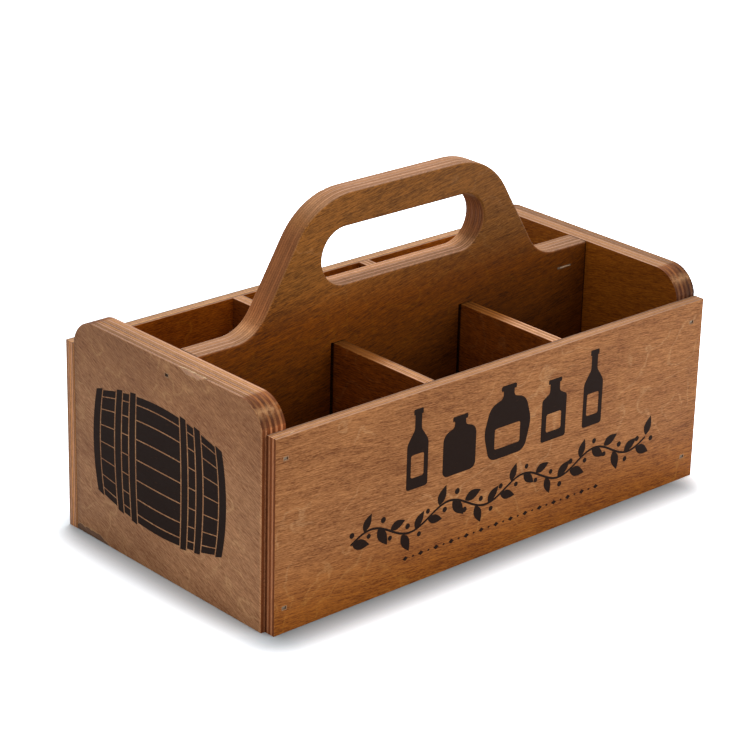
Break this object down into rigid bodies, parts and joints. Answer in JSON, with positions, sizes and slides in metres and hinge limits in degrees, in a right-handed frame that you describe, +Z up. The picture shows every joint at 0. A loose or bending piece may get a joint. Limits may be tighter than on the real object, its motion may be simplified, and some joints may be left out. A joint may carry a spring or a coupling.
{
  "type": "bottle caddy",
  "caption": "Open plywood caddy with bottle compartments in two rows, crossed dividers and a raised centre board with a hand slot.",
  "frame": {"origin": "centre of the caddy's footprint, on the surface that it stands on", "axes": "+X along the long sides towards the right end panel, +Y from the front side panel to the back one, +Z up"},
  "size_m": [0.252, 0.137, 0.1535],
  "materials": {
    "thin_plywood": "stained birch plywood, satin",
    "thick_plywood": "stained birch plywood, satin",
    "brad_steel": "bright wire, sunk below the surface",
    "print_ink": "matt black screen-printing ink"
  },
  "bodies": {
    "root": {"front_side_panel": "thin_plywood", "back_side_panel": "thin_plywood", "left_end_panel": "thick_plywood", "right_end_panel": "thick_plywood", "handle_board": "thick_plywood", "left_cross_divider": "thin_plywood", "right_cross_divider": "thin_plywood", "bottom_board": "thin_plywood", "front_panel_brads": "brad_steel", "back_panel_brads": "brad_steel", "left_end_brads": "brad_steel", "right_end_brads": "brad_steel", "bottom_board_brads": "brad_steel"}
  },
  "joints": []
}
